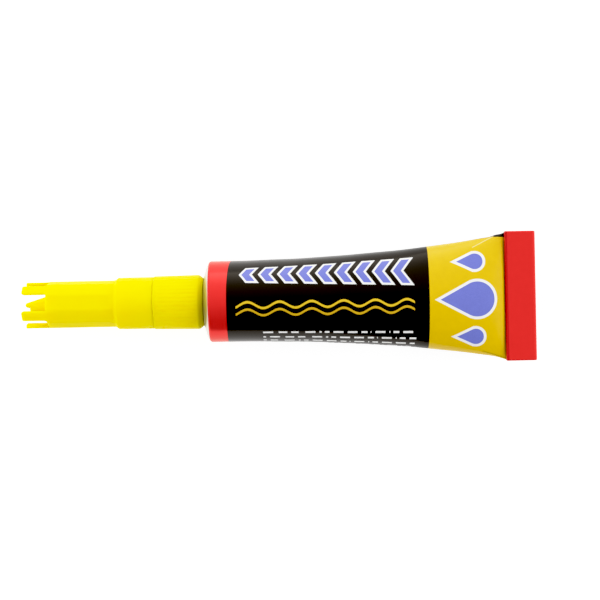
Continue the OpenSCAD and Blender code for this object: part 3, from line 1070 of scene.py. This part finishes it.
def printed_lacquer(name):
    """Glossy print on metal: layers of ink, painted light and shade, a halftone mottle, thin spots and
    a slight ripple.
    """
    material, tree, shader = new_finish(name)
    place = tree.nodes.new("ShaderNodeUVMap")
    place.uv_map = "print_mm"
    split = tree.nodes.new("ShaderNodeSeparateXYZ")
    tree.links.new(place.outputs["UV"], split.inputs[0])
    u, v = Field(tree, split.outputs["X"]), Field(tree, split.outputs["Y"])
    red_cover = red_fields(u, v).inside()
    layers = print_layers(tree, u, v)
    layers.append((red_cover, RED))
    # painted shade: a deeper red from the fold's inner bend on stands in for the shade in the bend
    layers.append(((u * -1 + bend_u).inside(soft=0.15), PAINTED_BEND_SHADE_RED))
    layers.append((noise(tree, scale=900, detail=4) * thin_ink, BLACK))
    colour = BLACK
    for cover, ink in layers:
        colour = mix(tree, cover, colour, ink)
    feed(tree, colour, shader, "Base Color")
    feed(tree, red_cover * red_metal, shader, "Metallic")
    smear = noise(tree, scale=300, detail=3, stretch=(0.4, 1, 1))
    feed(tree, (smear - 0.5) * 0.1 + 0.2, shader, "Roughness")
    bump(tree, shader, noise(tree, scale=1500), distance=5e-6)
    shader.inputs["Specular IOR Level"].default_value = 0.32
    shader.inputs["Specular Tint"].default_value = (1.0, 0.88, 0.72, 1)
    print(f"{name}: {len(layers)} layers of ink")
    return material


tube.data.materials.append(printed_lacquer("printed_lacquer"))
tube.data.materials.append(metal)
print("print on", tube.name)

# %% [markdown]
# Three solids keep their own meshes, because they are hidden inside: the membrane on the neck, the
# latex seal in the fold and the liquid. They still get a true finish, which shows when the nozzle is
# unscrewed or the tube is cut open.

# %% Inner pieces
CREAM, PALE_CREAM = (0.62, 0.5, 0.3), (0.74, 0.64, 0.44)
CLEAR, PALE_CLEAR = (0.86, 0.9, 0.93), (0.93, 0.95, 0.96)


def latex(name):
    """Dull, creamy latex with a cloudy colour and a fine grain."""
    material, tree, shader = new_finish(name)
    cloud = noise(tree, scale=700, detail=3)
    feed(tree, mix(tree, cloud, CREAM, PALE_CREAM), shader, "Base Color")
    bump(tree, shader, noise(tree, scale=4000), distance=8e-6)
    shader.inputs["Roughness"].default_value = 0.7
    return material


def clear_liquid(name):
    """A clear liquid with a faint, uneven tint."""
    material, tree, shader = new_finish(name)
    cloud = noise(tree, scale=200)
    feed(tree, mix(tree, cloud, CLEAR, PALE_CLEAR), shader, "Base Color")
    shader.inputs["Roughness"].default_value = 0.04
    shader.inputs["IOR"].default_value = 1.45
    shader.inputs["Transmission Weight"].default_value = 0.9
    return material


inner_finishes = {
    "neck_membrane": metal,
    "end_seal": latex("latex"),
    "glue": clear_liquid("clear_liquid"),
}
for node, finish in inner_finishes.items():
    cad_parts[node].data.materials.clear()
    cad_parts[node].data.materials.append(finish)
print("inner finishes:", ", ".join(inner_finishes))

# %% [markdown]
# ## Stage, light and camera
#
# The tube lies on a light table and is seen from straight above. The table glows, so the ground is
# white, and it also takes a faint shadow where the tube touches it. It could be left out and the
# background painted white, but then the lower edges of the tube would mirror nothing.

# %% The light table
floor_half = 3.0
floor_drop = 2e-5
table_glow = 0.95

floor_mesh = bpy.data.meshes.new("floor")
floor_corners = np.array([(-1, -1, 0), (1, -1, 0), (1, 1, 0), (-1, 1, 0)]) * floor_half
floor_corners = floor_corners - [0, 0, floor_drop]
floor_mesh.from_pydata(floor_corners.tolist(), [], [(0, 1, 2, 3)])
floor = bpy.data.objects.new("floor", floor_mesh)
bpy.context.scene.collection.objects.link(floor)
floor_finish, _, floor_shader = new_finish("light_table")
floor_shader.inputs["Base Color"].default_value = (0.4, 0.4, 0.4, 1)
floor_shader.inputs["Roughness"].default_value = 0.9
floor_shader.inputs["Specular IOR Level"].default_value = 0.0
floor_shader.inputs["Emission Color"].default_value = (1, 1, 1, 1)
floor_shader.inputs["Emission Strength"].default_value = table_glow
floor_mesh.materials.append(floor_finish)
print(f"light table {2 * floor_half} m square, {floor_drop} m below the part")

# %% [markdown]
# A tent of light stands round the table. It is brighter towards +Y and has an extra bright low edge
# there, so the far side of each round piece is light and the near side deep, and the black lacquer
# mirrors only the dim part above. A soft lamp beyond each end lights the crown and the fold. Lamps of
# that size would show as hard squares in the gloss, so they are left out of reflections.

# %% Two soft lamps
lamp_reach, lamp_y, lamp_height = 0.55, -0.05, 0.32
lamp_size = (0.5, 0.5)
lamp_watts = 2.5


def soft_lamp(name, x, y, z):
    """A broad lamp at a place in metres, pitched and turned so that it faces the origin."""
    lamp = bpy.data.lights.new(name, "AREA")
    lamp.shape = "RECTANGLE"
    lamp.size, lamp.size_y = lamp_size
    lamp.energy = lamp_watts
    holder = bpy.data.objects.new(name, lamp)
    holder.location = (x, y, z)
    holder.rotation_euler = (np.arctan2(np.hypot(x, y), z), 0, np.arctan2(-y, -x) - np.pi / 2)
    holder.visible_glossy = False
    bpy.context.scene.collection.objects.link(holder)


for name, side in (("left", -1), ("right", 1)):
    soft_lamp(name, side * lamp_reach, lamp_y, lamp_height)
print(f"a soft lamp of {lamp_watts} W beyond each end")

# %% The tent
sky_level = 0.56
sky_tilt = 0.56
sky_least = 0.1
sky_edge, edge_power = 1.7, 9.0

world = bpy.data.worlds.new("tent")
world.use_nodes = True
sky_tree = world.node_tree
background = next(n for n in sky_tree.nodes if n.type == "BACKGROUND")
sky_place = sky_tree.nodes.new("ShaderNodeTexCoord")
sky_split = sky_tree.nodes.new("ShaderNodeSeparateXYZ")
sky_tree.links.new(sky_place.outputs["Generated"], sky_split.inputs[0])
toward_y = Field(sky_tree, sky_split.outputs["Y"])
sky = (toward_y * sky_tilt + sky_level).most(sky_least)
sky = sky + toward_y.most(0.0).math("POWER", edge_power) * sky_edge
sky_tree.links.new(sky.socket, background.inputs["Strength"])
background.inputs["Color"].default_value = (1, 1, 1, 1)
bpy.context.scene.world = world
print(f"tent: {sky_level} overhead, {sky_level + sky_tilt + sky_edge} at its brightest edge")

# %% [markdown]
# A product photo has deep blacks and clean, bright colours. A curve after the render gives them: it
# cuts off the darkest tones, lifts the middle ones and bends gently into white, so that bright yellow
# and bare metal keep their shading.

# %% The tone curve
black_level = 0.024
white_level = 1.25
tones = [(0.06, 0.083), (0.347, 0.445), (0.633, 0.79), (0.755, 0.89), (0.878, 0.955)]

view = bpy.context.scene.view_settings
view.view_transform = "Standard"
view.use_curve_mapping = True
view.curve_mapping.black_level = (black_level,) * 3
view.curve_mapping.white_level = (white_level,) * 3
combined_curve = view.curve_mapping.curves[3]
for tone_in, tone_out in tones:
    combined_curve.points.new(tone_in, tone_out)
view.curve_mapping.update()
print(f"tone curve with {len(combined_curve.points)} points")

# %% [markdown]
# The camera looks straight down from a short distance, so the near surfaces look a little larger than
# the outline, and it is rolled by about a degree.

# %% Camera
image_px = 600
scale_px_per_mm = 6.0
camera_distance = 205.0
camera_target = (3.26, 0.0)
camera_roll_deg = -1.12
lens = bpy.data.cameras.new("camera")
lens.sensor_width = 36.0
lens.lens = scale_px_per_mm * camera_distance * lens.sensor_width / image_px
lens.clip_start = 0.01
camera = bpy.data.objects.new("camera", lens)
camera.location = np.array([*camera_target, axis_z + camera_distance]) * MM
camera.rotation_euler = (0, 0, np.radians(camera_roll_deg))
bpy.context.scene.collection.objects.link(camera)
bpy.context.scene.camera = camera
print(f"camera {camera_distance} mm above the axis with a {lens.lens:.1f} mm lens")
